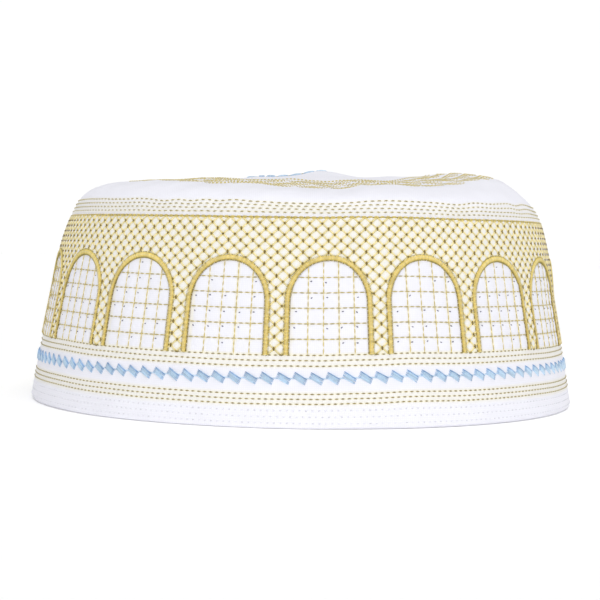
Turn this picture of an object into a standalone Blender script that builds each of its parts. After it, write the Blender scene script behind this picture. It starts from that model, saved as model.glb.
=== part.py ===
"""A prayer cap: a tapering side band with a soft crown gathered onto its top.

Metres, +Z up. The origin is the centre of the rim, which stands on the plane z = 0, and the
front of the cap faces -Y. Angles run from the front towards +X, in degrees.
"""

import math
from collections import namedtuple

import bpy

MM = 0.001

# Side band
RIM_RADIUS = 94.2 * MM  # outside of the hem, where the cap stands
SEAM_RADIUS = 82.3 * MM  # outside, where the band meets the crown
SEAM_HEIGHT = 62.5 * MM
BAND_BULGE = 0.3 * MM  # how far the band bows out halfway up
CLOTH_THICKNESS = 2.0 * MM  # stiffened cotton in several layers
BAND_ROWS = 8

# Crown
PIECE_GAP = 0.3 * MM  # between the band's top edge and the crown's foot
FOOT_HEIGHT = 0.8 * MM  # the crown's edge stands upright at the seam
SHOULDER_WIDTH = 17.3 * MM
SHOULDER_RISE = 9.6 * MM
SHOULDER_ROWS = 8
DOME_RISE = 4.4 * MM  # the top's middle above its edge
DOME_ROWS = 8

TURN_STEPS = 96  # round the cap, the same for both pieces so that the seam's edges match
CREASE_ANGLE = 40.0  # edges sharper than this stay hard, degrees
MERGE_DISTANCE = 0.01 * MM

# How the top's edge lies, going round. lift is how far it stands above or below the plain dome,
# and out is how far the shoulder below it is pushed out, both in millimetres.
EdgeRow = namedtuple("EdgeRow", "angle lift out")
EDGE = (
    EdgeRow(-135.0, 0.3, -0.8),
    EdgeRow(-90.0, 0.0, -2.0),
    EdgeRow(-51.0, -0.7, -0.8),
    EdgeRow(-21.0, -1.2, 0.0),
    EdgeRow(-7.0, -2.0, 0.0),
    EdgeRow(9.0, -2.6, 0.0),
    EdgeRow(17.0, -0.4, 0.0),
    EdgeRow(37.0, -0.1, 0.0),
    EdgeRow(59.0, 0.4, 0.0),
    EdgeRow(90.0, 1.0, 0.2),
    EdgeRow(135.0, 1.0, -0.4),
    EdgeRow(180.0, 0.8, -0.4),
)

# Soft humps and hollows of the top: where each lies, its rise (a hollow's is negative) and its
# half-width across and along the cap, all in millimetres.
DentRow = namedtuple("DentRow", "x y rise across along")
DENTS = (
    DentRow(6.0, -12.0, 1.9, 9.0, 18.0),
    DentRow(-18.0, -20.0, -0.5, 12.0, 20.0),
    DentRow(54.0, -5.0, 5.2, 15.0, 30.0),
)

CLOTH_COLOR = (0.90, 0.90, 0.93, 1.0)
CLOTH_ROUGHNESS = 0.9


def clear_scene():
    """Remove the objects of the open scene."""
    for scene_object in list(bpy.data.objects):
        bpy.data.objects.remove(scene_object, do_unlink=True)


def cloth_material(name):
    """Matt white cotton."""
    material = bpy.data.materials.new(name)
    material.use_nodes = True
    shader = material.node_tree.nodes["Principled BSDF"]
    shader.inputs["Base Color"].default_value = CLOTH_COLOR
    shader.inputs["Roughness"].default_value = CLOTH_ROUGHNESS
    shader.inputs["Metallic"].default_value = 0.0
    return material


def profile_object(name, points, closed):
    """Return an object whose mesh is a line through (radius, height) points in the XZ plane."""
    vertices = [(radius, 0.0, height) for radius, height in points]
    edges = [(index, index + 1) for index in range(len(points) - 1)]
    if closed:
        edges.append((len(points) - 1, 0))
    mesh = bpy.data.meshes.new(name)
    mesh.from_pydata(vertices, edges, [])
    return bpy.data.objects.new(name, mesh)


def turn_profile(profile):
    """Turn a profile once round the Z axis."""
    screw = profile.modifiers.new("turn", "SCREW")
    screw.axis = "Z"
    screw.angle = math.tau
    screw.steps = TURN_STEPS
    screw.render_steps = TURN_STEPS
    screw.use_merge_vertices = True
    screw.merge_threshold = MERGE_DISTANCE


def shade(mesh):
    """Shade the cloth smooth, apart from its cut edges."""
    mesh.shade_smooth()
    mesh.set_sharp_from_angle(angle=math.radians(CREASE_ANGLE))


def band_radius(height):
    """Outer radius of the side band at a height above the rim."""
    share = height / SEAM_HEIGHT
    straight = RIM_RADIUS + (SEAM_RADIUS - RIM_RADIUS) * share
    return straight + BAND_BULGE * 4.0 * share * (1.0 - share)


def band_profile():
    """Closed outline of the band's wall: down the outside, then up the inside."""
    heights = [SEAM_HEIGHT * (1.0 - row / BAND_ROWS) for row in range(BAND_ROWS + 1)]
    outside = [(band_radius(height), height) for height in heights]
    inside = [(radius - CLOTH_THICKNESS, height) for radius, height in reversed(outside)]
    return outside + inside


def edge_at(angle):
    """Lift and push of the top's edge at an angle, eased between the rows of EDGE."""
    for start, end in zip(EDGE, EDGE[1:] + EDGE[:1]):
        span = (end.angle - start.angle) % 360.0
        past = (angle - start.angle) % 360.0
        if past < span:
            break
    share = 0.5 - 0.5 * math.cos(math.pi * past / span)
    lift = start.lift + (end.lift - start.lift) * share
    out = start.out + (end.out - start.out) * share
    return lift * MM, out * MM


def dents_at(x, y):
    """Height that the humps and hollows add at a place on the top."""
    total = 0.0
    for dent in DENTS:
        across = (x / MM - dent.x) / dent.across
        along = (y / MM - dent.y) / dent.along
        total += dent.rise * math.exp(-(across * across + along * along))
    return total * MM


def crown_profile():
    """Open line from the middle of the plain dome, over the shoulder, down to the seam."""
    foot = SEAM_HEIGHT + PIECE_GAP
    shoulder_foot = foot + FOOT_HEIGHT
    top_radius = SEAM_RADIUS - SHOULDER_WIDTH
    top_height = shoulder_foot + SHOULDER_RISE
    points = []
    for row in range(DOME_ROWS):
        radius = top_radius * row / DOME_ROWS
        points.append((radius, top_height + dome_height(radius)))
    for row in range(SHOULDER_ROWS + 1):
        turn = math.radians(90.0 * (1.0 - row / SHOULDER_ROWS))
        radius = top_radius + SHOULDER_WIDTH * math.cos(turn)
        height = shoulder_foot + SHOULDER_RISE * math.sin(turn)
        points.append((radius, height + dome_height(radius)))
    points.append((SEAM_RADIUS, foot))
    return points


def dome_height(radius):
    """Rise of the plain dome above its shoulder, which dies away at the seam."""
    share = 1.0 - (radius / SEAM_RADIUS) ** 2
    return DOME_RISE * share * share


def soften_crown(mesh):
    """Move the turned crown's points to the lie of the real, slightly crushed top."""
    top_radius = SEAM_RADIUS - SHOULDER_WIDTH
    shoulder_foot = SEAM_HEIGHT + PIECE_GAP + FOOT_HEIGHT
    for vertex in mesh.vertices:
        x, y, z = vertex.co
        radius = math.hypot(x, y)
        angle = math.degrees(math.atan2(x, -y))
        lift, out = edge_at(angle)
        climb = min(max((z - shoulder_foot) / SHOULDER_RISE, 0.0), 1.0)
        inner = min(radius / top_radius, 1.0)
        swell = math.sqrt(math.sin(math.pi * climb))
        push = 1.0 + out * swell / max(radius, top_radius)
        vertex.co.x = x * push
        vertex.co.y = y * push
        vertex.co.z = z + lift * climb * climb * inner * inner + dents_at(x, y) * climb * climb


def make_side_band(collection):
    """The tapering ring of the cap, flat on its rim and flat where the crown meets it."""
    band = profile_object("side_band", band_profile(), closed=True)
    collection.objects.link(band)
    turn_profile(band)
    turned = evaluated_mesh(band)
    band.modifiers.clear()
    band.data = turned
    shade(turned)
    turned.materials.append(cloth_material("band_cloth"))
    return band


def make_crown(collection):
    """The soft top: a turned dome, pushed into its dented shape and given its thickness."""
    crown = profile_object("crown", crown_profile(), closed=False)
    collection.objects.link(crown)
    turn_profile(crown)
    turned = evaluated_mesh(crown)
    crown.modifiers.clear()
    crown.data = turned
    soften_crown(turned)
    shade(turned)
    turned.materials.append(cloth_material("crown_cloth"))
    shell = crown.modifiers.new("cloth", "SOLIDIFY")
    shell.thickness = CLOTH_THICKNESS
    shell.offset = -1.0
    shell.use_even_offset = True
    return crown


def evaluated_mesh(scene_object):
    """A new mesh of an object as its modifiers leave it."""
    graph = bpy.context.evaluated_depsgraph_get()
    return bpy.data.meshes.new_from_object(scene_object.evaluated_get(graph))


def main():
    clear_scene()
    collection = bpy.data.collections.new("prayer_cap")
    bpy.context.scene.collection.children.link(collection)
    make_side_band(collection)
    make_crown(collection)


main()
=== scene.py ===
"""Embroidered prayer cap: its cloth, its stitches and the stage that it stands on.

A place on the outside of the cap is an angle, in degrees from the front (-Y) towards +X, and a
travel, in millimetres up the plain cap from its rim: up the side band, over the crown's shoulder
and in to the crown's middle. Lengths are in millimetres until a mesh is made.
"""

import math
import random
from collections import namedtuple

import bmesh
import bpy
import numpy as np
from mathutils import Matrix, Vector


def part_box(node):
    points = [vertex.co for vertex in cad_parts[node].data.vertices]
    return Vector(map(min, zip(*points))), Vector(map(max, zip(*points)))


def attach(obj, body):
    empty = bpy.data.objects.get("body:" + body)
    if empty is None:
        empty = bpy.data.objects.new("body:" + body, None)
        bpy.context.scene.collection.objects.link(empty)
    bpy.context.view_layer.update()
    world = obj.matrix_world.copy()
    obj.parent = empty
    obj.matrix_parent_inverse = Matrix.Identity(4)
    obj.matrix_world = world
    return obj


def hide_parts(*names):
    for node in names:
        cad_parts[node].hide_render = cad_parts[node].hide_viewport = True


bl_info = {
    "name": "Embroidered Prayer Cap",
    "version": (1, 0, 0),
    "blender": (4, 5, 0),
    "location": "3D View > Sidebar > Prayer Cap",
    "description": "Sews a white cotton prayer cap with gold and light blue embroidery",
    "category": "Add Mesh",
}

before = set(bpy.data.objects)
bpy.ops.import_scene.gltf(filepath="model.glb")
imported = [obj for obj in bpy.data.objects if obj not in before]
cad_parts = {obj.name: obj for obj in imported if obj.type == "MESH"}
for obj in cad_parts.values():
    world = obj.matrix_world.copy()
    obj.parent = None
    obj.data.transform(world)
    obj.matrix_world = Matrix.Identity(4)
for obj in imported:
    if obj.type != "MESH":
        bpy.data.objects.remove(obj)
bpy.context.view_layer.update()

MM = 0.001


def table(columns, *rows):
    """Rows of a table whose columns have names."""
    kind = namedtuple("Row", columns)
    return tuple(kind(*row) for row in rows)


# Shape of the cap, the same as the solids'
RIM_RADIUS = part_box("side_band")[1][0] / MM
SEAM_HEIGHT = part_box("side_band")[1][2] / MM
SEAM_RADIUS = 82.3
BAND_BULGE = 0.3
CLOTH_THICKNESS = 2.0
CROWN_FOOT = SEAM_HEIGHT + 0.3
SHOULDER_FOOT = CROWN_FOOT + 0.8
SHOULDER_WIDTH = 17.3
SHOULDER_RISE = 9.6
DOME_RISE = 4.4
TOP_RADIUS = SEAM_RADIUS - SHOULDER_WIDTH

# How the top's edge lies, going round: its lift above the plain dome and the push of its shoulder.
# It follows the solid to about a millimetre.
EDGE = table(
    "angle lift out",
    (-135.0, 0.3, -0.8), (-90.0, 0.5, -1.5), (-51.0, -0.2, -0.8), (-21.0, -1.2, 0.0),
    (-7.0, -2.0, 0.0), (9.0, -2.6, 0.0), (17.0, -1.0, 0.0), (37.0, -0.8, 0.0), (59.0, 0.5, -0.9),
    (90.0, 1.2, -1.1), (135.0, 1.0, -0.4), (180.0, 0.8, -0.4),
)

# Soft humps and hollows of the top: place, rise and half-widths across and along the cap
DENTS = table(
    "x y rise across along",
    (6.0, -12.0, 1.9, 9.0, 18.0), (-18.0, -20.0, -0.5, 12.0, 20.0), (33.0, -5.0, 0.9, 12.0, 30.0),
    (56.0, -5.0, 4.2, 17.0, 30.0),
)

# Small waves of the crown's cloth: waves a metre across and along, phase and depth
WRINKLES = table(
    "across along phase depth",
    (46.0, 19.0, 1.0, 0.16), (-24.0, 55.0, 2.1, 0.14), (88.0, -63.0, 0.4, 0.08),
)

# How far the hem's outer fold stands off the surface, going round
HEM_RISE = table(
    "angle rise",
    (-120.0, 0.1), (-85.0, 1.0), (-60.0, 0.9), (-44.0, 0.2), (0.0, 0.1), (14.0, 0.85), (84.0, 0.85),
    (108.0, 0.1),
)
HEM_REACH = 9.0  # travel at which the hem's rise has died away
HEM_FOLD = 1.2  # how far into the wall the hem's rise reaches
HEM_OUTSIDE = ((0.0, -1.0), (0.04, -0.6), (0.2, -0.25), (0.5, -0.06), (0.9, 0.0))  # travel and proud
HEM_INSIDE = ((0.4, -CLOTH_THICKNESS), (0.0, -1.6))
OUTSIDE = -0.3  # the rows of a wall that stand further out than this are its outside

# How far the rows of embroidery stray up from level, low on the band and at the crown's seam
DRIFT = table(
    "angle low high",
    (-180.0, 0.4, 0.2), (-90.0, 0.8, 0.3), (-60.0, 1.0, 0.25), (-44.0, 0.6, 0.15),
    (-28.0, 0.4, 0.0), (-12.0, 0.25, -0.1), (2.0, 0.45, -0.1), (12.0, 0.85, 0.35),
    (21.0, 1.25, 0.55), (34.0, 1.0, 0.4), (50.0, 1.0, 0.5), (66.0, 0.75, 0.5), (110.0, 0.4, 0.3),
)
PUSH_START = 50.0  # the band's left side leans in from here up
SEAM_PUSH = -1.5  # by this much at the seam
SWELL = 0.7  # how far the right side of the band bows out
SWELL_SPAN = (37.0, 64.0)  # from this travel to this one
DRIFT_START = 6.0  # the rows stray by their whole amount from here
DRIFT_TURN = 48.0  # and from here they near their amount at the seam
DRIFT_END = 4.0  # above the seam, where they are level again

# Gathers where the crown is sewn to the band: how far the top wavy row climbs at each angle
GATHERS = table(
    "angle rise",
    (-174.0, 0.6), (-160.0, 1.6), (-149.0, 0.7), (-133.0, 1.3), (-121.0, 0.5), (-104.0, 1.5),
    (-90.0, 1.2), (-62.7, 1.5), (-46.0, 1.1), (-39.0, 1.3), (-31.8, 0.4), (-29.0, 0.9),
    (-24.9, 0.4), (-21.9, 1.0), (-18.5, 0.5), (-15.5, 1.1), (-9.8, 0.4), (-4.7, 0.0), (5.1, 0.0),
    (9.2, 0.6), (13.9, 1.4), (18.0, 1.7), (28.8, 1.4), (35.5, 0.8), (41.8, 2.0), (47.0, 1.7),
    (55.3, 2.0), (59.2, 1.4), (63.9, 2.2), (75.0, 1.3), (90.0, 1.9), (108.0, 0.8), (124.0, 1.7),
    (139.0, 0.9), (156.0, 1.8), (168.0, 0.9),
)
GATHER_PUSH = 0.3  # how far the cloth bulges out for each millimetre that the row climbs
GATHER_MIDDLE = 1.0
GATHER_REACH = 14.0  # the gathers die away this far above the wavy rows

# Rows of stitches round the cap, by their travel
HEM_ROWS = (1.6, 3.3, 5.0)
GOLD_ROWS = (6.8, 8.2, 9.66, 17.8, 19.4, 20.95)
ARCH_FOOT = GOLD_ROWS[-1]
SEAM_ROW = 62.0
WAVY_ROWS = (63.45, 64.45, 65.45, 66.5)

# How the cloth lies under the stitches: depths of their rows, heights of the cells between them
ROW_GROOVE = 0.42  # half-width of the groove along a row
WAVY_GROOVE = 0.4
HEM_DIP = 0.05
GOLD_DIP = 0.12
WAVY_DIP = 0.14
NET_PUFF = (0.62, -0.2)  # height of a cell's middle over its crossings, and of those
GRID_PUFF = (0.4, -0.18)
GRID_EDGE = 0.06  # least arch_depth at which the grid's cells puff out

# Painted light: how much gold light the stitches bounce onto the cloth beside them, from 0 to 1
SHINE_REACH = 0.45
ROW_SHINE = 0.8
WAVY_SHINE = 0.6
GRID_SHINE = 0.6
GRID_REACH = 0.3  # of grid_wave, over which the shine fades
NET_SHINE = 1.1

# Arches: satin columns that stand on the foot row, close in a round top and repeat round the band
ARCH_COUNT = 18
ARCH_PITCH = 360.0 / ARCH_COUNT
ARCH_TURN = 5.07
ARCH_HALF = 8.08  # from the arch's middle to the middle of its satin, degrees
ARCH_SPRING = 36.5
ARCH_TOP = 49.55
SATIN_WIDTH = 1.6
# Painted shade: short dark stitches stand for the shadowed needle holes along the satin's edges
HOLE_SIDE = 0.74  # from the satin's middle line to the needle holes along its edges
HOLE_LENGTH = 0.5
HOLE_WIDTH = 0.26
HOLE_SPACING = 3.0  # from one needle hole to the next, in satin stitches

# Grid of running stitches in each arch
GRID_FOOT = 25.6
GRID_PITCH = 4.53
GRID_ROWS = 5
GRID_LEFT = -4.05  # from the arch's middle to its grid's first upright line, degrees
GRID_TURN = 3.0
GRID_COLUMNS = 4
GRID_SHARE = 0.9  # of the pitch that a stitch of the grid takes up
GRID_MARGIN = 0.07  # between the grid and the satin, as a share of the arch's half-width
SPECK_SHIFT = (0.95, -1.25)  # a loose knot of dark under thread lies off each crossing, across and up
SPECK_STRAY = 0.25  # and strays from there by up to this much
SPECK_SIZE = (0.65, 0.38)
SPECK_SHARE = 0.6  # of the crossings have one
SPECK_MARGIN = 0.16
SPECK_SEED = 5

# Diamond net between and above the arches
NET_STEPS = 280  # half diamonds round the cap
NET_TURN = 1.143
NET_ROWS = 23  # half diamonds from the arches' foot to the seam
NET_RISE = (SEAM_ROW - ARCH_FOOT) / NET_ROWS
FAINT_KNOT = 0.6  # size of the knots in every other row beside the rest
KNOT_WIDTH = 0.6
KNOT_MARGIN = 0.04
SHORTEST_CUT = 0.12  # a stitch that an arch cuts off is left out if less of it is left

# Blue chain: slanting blocks of satin, each of a few strands, joined by one link stitch
CHAIN_COUNT = 118
CHAIN_TURN = 2.75
CHAIN_TRAVEL = 14.2
CHAIN_STRANDS = 5
CHAIN_RUN = (2.65, -1.6)  # along a strand, across and up
CHAIN_STACK = (-0.6, -1.45)  # from the first strand to the last
CHAIN_LINK = 2.4
CHAIN_FALL = 0.15  # of each end of a link from its middle
LINK_THREAD = (0.3, 0.4)  # its width and height
# Travels of the mesh's rows beside the chain
CHAIN_LEVELS = (GOLD_ROWS[2] + 1.2, 12.0, 13.0, CHAIN_TRAVEL, 15.0, 16.0, GOLD_ROWS[3] - 1.0)

# Embroidery of the crown's top, by the distance from its middle along the cloth
SCALE_ROWS = 4
SCALE_COUNT = 36
SCALE_OUTER = 58.8
SCALE_STEP = 5.0
SCALE_ARCS = (1.3, 2.5, 3.7, 4.9)  # radii in the outer row; smaller further in
SCALE_PITCH = 1.25  # from one stitch of the scales to the next
SCALE_STITCH = 0.8  # length of one
RING_BORDERS = (41.4, 40.3)
RING_SHIFT = (2.3, -1.5)  # from the crown's middle to the middle of its gold ring, in X and Y
CENTRE_SHIFT = (-3.0, 5.5)  # and to the middle of the small rings, which the crushed cloth has moved
CENTRE_CHAIN = 16.0
CENTRE_CHAIN_COUNT = 22
CENTRE_ROWS = (13.0, 5.0)

# Resolution of the cloth and of the paths that the stitches follow
BAND_COLUMNS = 2 * NET_STEPS
CROWN_COLUMNS = NET_STEPS
PATH_STEPS = 2 * NET_STEPS
ARC_STEPS = 41
LEG_STEPS = 12
GRID_STEPS = 80
SCALE_STEPS = 15
CUT_HALVINGS = 12  # that find where an arch cuts a stitch off
EDGE_ROW = 0.3  # from a cut edge to the close row of the mesh beside it
BAND_INNER_ROWS = 10
BAND_INNER_MARGIN = 4.0  # from those rows to the band's edges
CROWN_INNER_ROWS = 22
SHOULDER_REACH = 24.0  # travel over the crown's shoulder that has close rows
SHOULDER_ROWS = 44
TOP_ROWS = 34
SLOPE_STEP = 0.05
CREASE_ANGLE = math.radians(70.0)  # edges sharper than this stay hard

# Shape of one stitch, as shares of its thread's height and width
STITCH_CREST = 0.4  # its middle above the cloth
STITCH_DIVE = 0.85  # from there down to its ends
STITCH_TAPER = 0.45  # how much thinner its ends are
STITCH_JITTER = math.radians(3.0)

# Grain of the materials
YARN_PITCH = 0.6  # about 0.25 in the real cloth, and drawn coarser here so that it shows
LIE_SIZE = 9.0  # across the soft unevenness of the starched cloth
PLY_PITCH = 0.3  # about 0.15 in the real thread, and drawn coarser too

# Camera, fitted to the photograph
CAMERA_PLACE = (-0.84, -526.5, 53.5)
CAMERA_PITCH = 2.085  # below level, degrees
CAMERA_ROLL = 1.02
FOCAL_LENGTH = 89.33
SENSOR_WIDTH = 36.0

# Far, broad lights: where each comes from, how wide it looks in degrees, and its strength
LIGHTS = table(
    "name place width strength",
    ("front_light", (0.05, -1.0, 0.55), 35.0, 1.0),
    ("top_light", (0.1, -0.1, 1.0), 60.0, 1.45),
)
SKY_HORIZON = 1.02
SKY_ABOVE = 0.4
SKY_FADE = (0.17, 0.35)  # sines of the angles above level between which it dims
SKY_SIDES = 0.5  # brightness of the tent's sides beside its front and back
SKY_TURN = 0.9  # share of the way from the sides to the front at which it is full
STAGE_SIZE = 12000.0
FLOOR_DROP = 0.05  # from the rim down to the floor
FLOOR_GLOW = 0.1


def linear_colour(hex_code):
    """Linear RGBA of an sRGB hex colour."""
    channels = [int(hex_code[place : place + 2], 16) / 255.0 for place in (1, 3, 5)]
    linear = [c / 12.92 if c <= 0.04045 else ((c + 0.055) / 1.055) ** 2.4 for c in channels]
    return (*linear, 1.0)


def length_property(label, size, description):
    """A length that a user may change, with its default in millimetres."""
    return bpy.props.FloatProperty(
        name=label, description=description, default=size * MM, min=0.0, unit="LENGTH", precision=5
    )


def colour_property(label, hex_code, description):
    """A colour that a user may change."""
    return bpy.props.FloatVectorProperty(
        name=label,
        description=description,
        default=linear_colour(hex_code),
        subtype="COLOR",
        size=4,
        min=0.0,
        max=1.0,
    )


class StitchSettings(bpy.types.PropertyGroup):
    """Sizes of the threads and their stitches."""

    running_pitch: length_property("Running Pitch", 1.9, "From one running stitch to the next")
    running_length: length_property("Running Length", 0.95, "Length of one running stitch")
    running_thread: length_property("Running Thread", 0.36, "Width of the gold running thread")
    grid_thread: length_property("Grid Thread", 0.35, "Width of the thread in the grids and wavy rows")
    scale_thread: length_property("Scale Thread", 0.3, "Width of the thread in the crown's ring of scales")
    hem_thread: length_property("Hem Thread", 0.36, "Width of the white thread in the hem")
    seam_thread: length_property("Seam Thread", 0.8, "Width of the thick thread at the crown's seam")
    net_thread: length_property("Net Thread", 0.58, "Width of the thread in the diamond net")
    satin_pitch: length_property("Satin Pitch", 0.42, "From one satin stitch to the next")
    satin_thread: length_property("Satin Thread", 0.48, "Width of the satin thread")
    chain_thread: length_property("Chain Thread", 0.4, "Width of the blue thread")
    knot_length: length_property("Knot Length", 1.1, "Length of the dark knots where the net crosses")
    seed: bpy.props.IntProperty(name="Seed", description="Start of the stitches' differences", default=7)


class ColourSettings(bpy.types.PropertyGroup):
    """Colours of the cloth, the threads and the stage."""

    cotton: colour_property("Cotton", "#f0f0f8", "White cotton of the cap")
    # Painted light: the gold that the thread bounces onto the cotton beside it
    gold_bounce: colour_property("Cream", "#f8f0c4", "Cotton that shines with the gold thread beside it")
    gold: colour_property("Gold", "#f3dc80", "Lit crest of the gold rayon thread")
    pale_gold: colour_property("Pale Gold", "#eee2b0", "Lit crest of the net's thinner gold thread")
    # Painted shade: gold thread darkened where it dives into the cloth
    gold_in_shade: colour_property("Deep Gold", "#978840", "Gold thread where it turns into the cloth")
    # Painted shade of the needle holes and of the threads' ends, and the colour of the net's dark knots
    brown: colour_property("Needle Brown", "#5e3c06", "Needle holes and thread ends")
    blue: colour_property("Blue", "#c4ddf2", "Light blue rayon thread")
    # Painted shade: blue thread darkened where it dives into the cloth, and along the chain's top strand
    blue_in_shade: colour_property("Deep Blue", "#7ba3d0", "Blue thread where it turns into the cloth")
    # Also mixed into the white thread as painted shade
    under: colour_property("Under Thread", "#6a6a80", "Loose knots of the dark under thread")
    floor: colour_property("Floor", "#fdfdfd", "Paper that the cap stands on")


# Shape of the cap's outside


def plain_profile():
    """Travel, radius and height along the plain cap, from the rim to the crown's middle."""
    steps = 90
    share = np.linspace(0.0, 1.0, steps)
    band_height = SEAM_HEIGHT * share
    band_radius = RIM_RADIUS + (SEAM_RADIUS - RIM_RADIUS) * share + BAND_BULGE * 4.0 * share * (1.0 - share)
    turn = share * math.pi / 2.0
    shoulder_radius = TOP_RADIUS + SHOULDER_WIDTH * np.cos(turn)
    shoulder_height = SHOULDER_FOOT + SHOULDER_RISE * np.sin(turn)
    top_radius = TOP_RADIUS * (1.0 - share[1:])
    top_height = np.full(steps - 1, SHOULDER_FOOT + SHOULDER_RISE)
    radius = np.concatenate(([SEAM_RADIUS], shoulder_radius, top_radius))
    height = np.concatenate(([CROWN_FOOT], shoulder_height, top_height))
    fade = 1.0 - (radius / SEAM_RADIUS) ** 2
    height = height + DOME_RISE * fade * fade
    walked = np.concatenate(([0.0], np.cumsum(np.hypot(np.diff(radius), np.diff(height)))))
    travel = np.concatenate((band_height, CROWN_FOOT + walked))
    return travel, np.concatenate((band_radius, radius)), np.concatenate((band_height, height))


PLAIN_TRAVEL, PLAIN_RADIUS, PLAIN_HEIGHT = plain_profile()
CROWN_END = PLAIN_TRAVEL[-1]


def eased(angle, rows, column):
    """A table column's value at each angle, eased from row to row round the cap."""
    rows = sorted(rows, key=lambda row: row.angle)
    stops = np.array([rows[-1].angle - 360.0] + [row.angle for row in rows] + [rows[0].angle + 360.0])
    values = [getattr(row, column) for row in rows]
    values = np.array(values[-1:] + values + values[:1])
    wrapped = (angle + 180.0) % 360.0 - 180.0
    start = np.clip(np.searchsorted(stops, wrapped, side="right") - 1, 0, len(stops) - 2)
    share = (wrapped - stops[start]) / (stops[start + 1] - stops[start])
    share = 0.5 - 0.5 * np.cos(np.pi * share)
    return values[start] + (values[start + 1] - values[start]) * share


def dents_at(x, y):
    """Height that the top's humps, hollows and small waves add."""
    total = np.zeros_like(x)
    for dent in DENTS:
        away = ((x - dent.x) / dent.across) ** 2 + ((y - dent.y) / dent.along) ** 2
        total += dent.rise * np.exp(-away)
    for wave in WRINKLES:
        total += wave.depth * np.sin(math.tau * (wave.across * x + wave.along * y) * MM + wave.phase)
    return total


def gather_fade(travel):
    """1 at the top wavy row, falling to 0 at the seam below it and where the gathers end above."""
    below = (travel - SEAM_ROW) / (WAVY_ROWS[-1] - SEAM_ROW)
    above = 1.0 - (travel - WAVY_ROWS[-1]) / GATHER_REACH
    return np.clip(np.minimum(below, above), 0.0, 1.0)


def cap_points(angle, travel):
    """Places on the cap's outside, in millimetres."""
    angle, travel = np.broadcast_arrays(np.asarray(angle, float), np.asarray(travel, float))
    turn = np.radians(angle)
    radius = np.interp(travel, PLAIN_TRAVEL, PLAIN_RADIUS)
    height = np.interp(travel, PLAIN_TRAVEL, PLAIN_HEIGHT)
    x = radius * np.sin(turn)
    y = -radius * np.cos(turn)
    climb = np.clip((height - SHOULDER_FOOT) / SHOULDER_RISE, 0.0, 1.0)
    inner = np.clip(radius / TOP_RADIUS, 0.0, 1.0)
    swell = np.sqrt(np.clip(np.sin(np.pi * climb), 0.0, 1.0))
    near_seam = np.clip((travel - PUSH_START) / (SEAM_HEIGHT - PUSH_START), 0.0, 1.0) ** 2
    leaning = np.clip(-np.sin(turn), 0.0, 1.0) ** 2 * near_seam * (1.0 - climb)
    push = eased(angle, EDGE, "out") * swell + SEAM_PUSH * leaning
    swollen = np.clip((travel - SWELL_SPAN[0]) / (SWELL_SPAN[1] - SWELL_SPAN[0]), 0.0, 1.0)
    push = push + SWELL * np.sin(np.pi * swollen) * np.clip(np.sin(turn), 0.0, 1.0) ** 2
    push = push + GATHER_PUSH * (eased(angle, GATHERS, "rise") - GATHER_MIDDLE) * gather_fade(travel)
    stretch = 1.0 + push / np.maximum(radius, TOP_RADIUS)
    height = height + eased(angle, EDGE, "lift") * climb**2 * inner**2 + dents_at(x, y) * climb**2
    return np.stack((x * stretch, y * stretch, height), axis=-1)


def cap_normals(angle, travel):
    """Unit vectors that point out of the cloth."""
    angle, travel = np.broadcast_arrays(np.asarray(angle, float), np.asarray(travel, float))
    travel = np.minimum(travel, CROWN_END - 4.0 * SLOPE_STEP)
    low = np.maximum(travel - SLOPE_STEP, 0.0)
    along = cap_points(angle, travel + SLOPE_STEP) - cap_points(angle, low)
    across = cap_points(angle + SLOPE_STEP, travel) - cap_points(angle - SLOPE_STEP, travel)
    normal = np.cross(across, along)
    return normal / np.linalg.norm(normal, axis=-1, keepdims=True)


def degrees_across(distance, travel):
    """Angle that a distance round the cap takes up at a travel."""
    return np.degrees(distance / np.maximum(np.interp(travel, PLAIN_TRAVEL, PLAIN_RADIUS), 1.0))


# Where the embroidery lies


def drift(angle, travel):
    """How far up a row of embroidery strays from its level travel."""
    low, high = eased(angle, DRIFT, "low"), eased(angle, DRIFT, "high")
    near_seam = np.clip((travel - DRIFT_TURN) / (SEAM_ROW - DRIFT_TURN), 0.0, 1.0)
    start = np.clip(travel / DRIFT_START, 0.0, 1.0)
    end = np.clip(1.0 - (travel - SEAM_ROW) / DRIFT_END, 0.0, 1.0)
    return (low + (high - low) * near_seam) * start * end


def from_arch(angle):
    """Angle from the middle of the nearest arch."""
    return (angle - ARCH_TURN + ARCH_PITCH / 2.0) % ARCH_PITCH - ARCH_PITCH / 2.0


def arch_depth(angle, travel):
    """How far inside an arch's satin a place lies, as a share of its half-width; negative outside."""
    side = from_arch(angle) / ARCH_HALF
    up = np.clip((travel - ARCH_SPRING) / (ARCH_TOP - ARCH_SPRING), 0.0, None)
    return np.where(travel < ARCH_FOOT, -1.0, 1.0 - np.sqrt(side * side + up * up))


def arch_line(outside=0.0):
    """Angle from its middle and travel along an arch's satin, from its left foot to its right.

    outside is how far out of the satin's middle line it runs.
    """
    half = ARCH_HALF + degrees_across(outside, ARCH_SPRING)
    turn = np.radians(np.linspace(180.0, 0.0, ARC_STEPS))
    leg = np.linspace(ARCH_FOOT, ARCH_SPRING, LEG_STEPS)[:-1]
    angle = np.concatenate((np.full(len(leg), -half), half * np.cos(turn), np.full(len(leg), half)))
    top = ARCH_SPRING + (ARCH_TOP + outside - ARCH_SPRING) * np.sin(turn)
    return angle, np.concatenate((leg, top, leg[::-1]))


def gather_wave(angle, travel):
    """How far a wavy row climbs above its plain travel."""
    share = (travel - SEAM_ROW) / (WAVY_ROWS[-1] - SEAM_ROW)
    return eased(angle, GATHERS, "rise") * share**1.5


def groove(distance, width):
    """1 on a line of stitches, fading to 0 beside it."""
    return np.exp(-((distance / width) ** 2))


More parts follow.
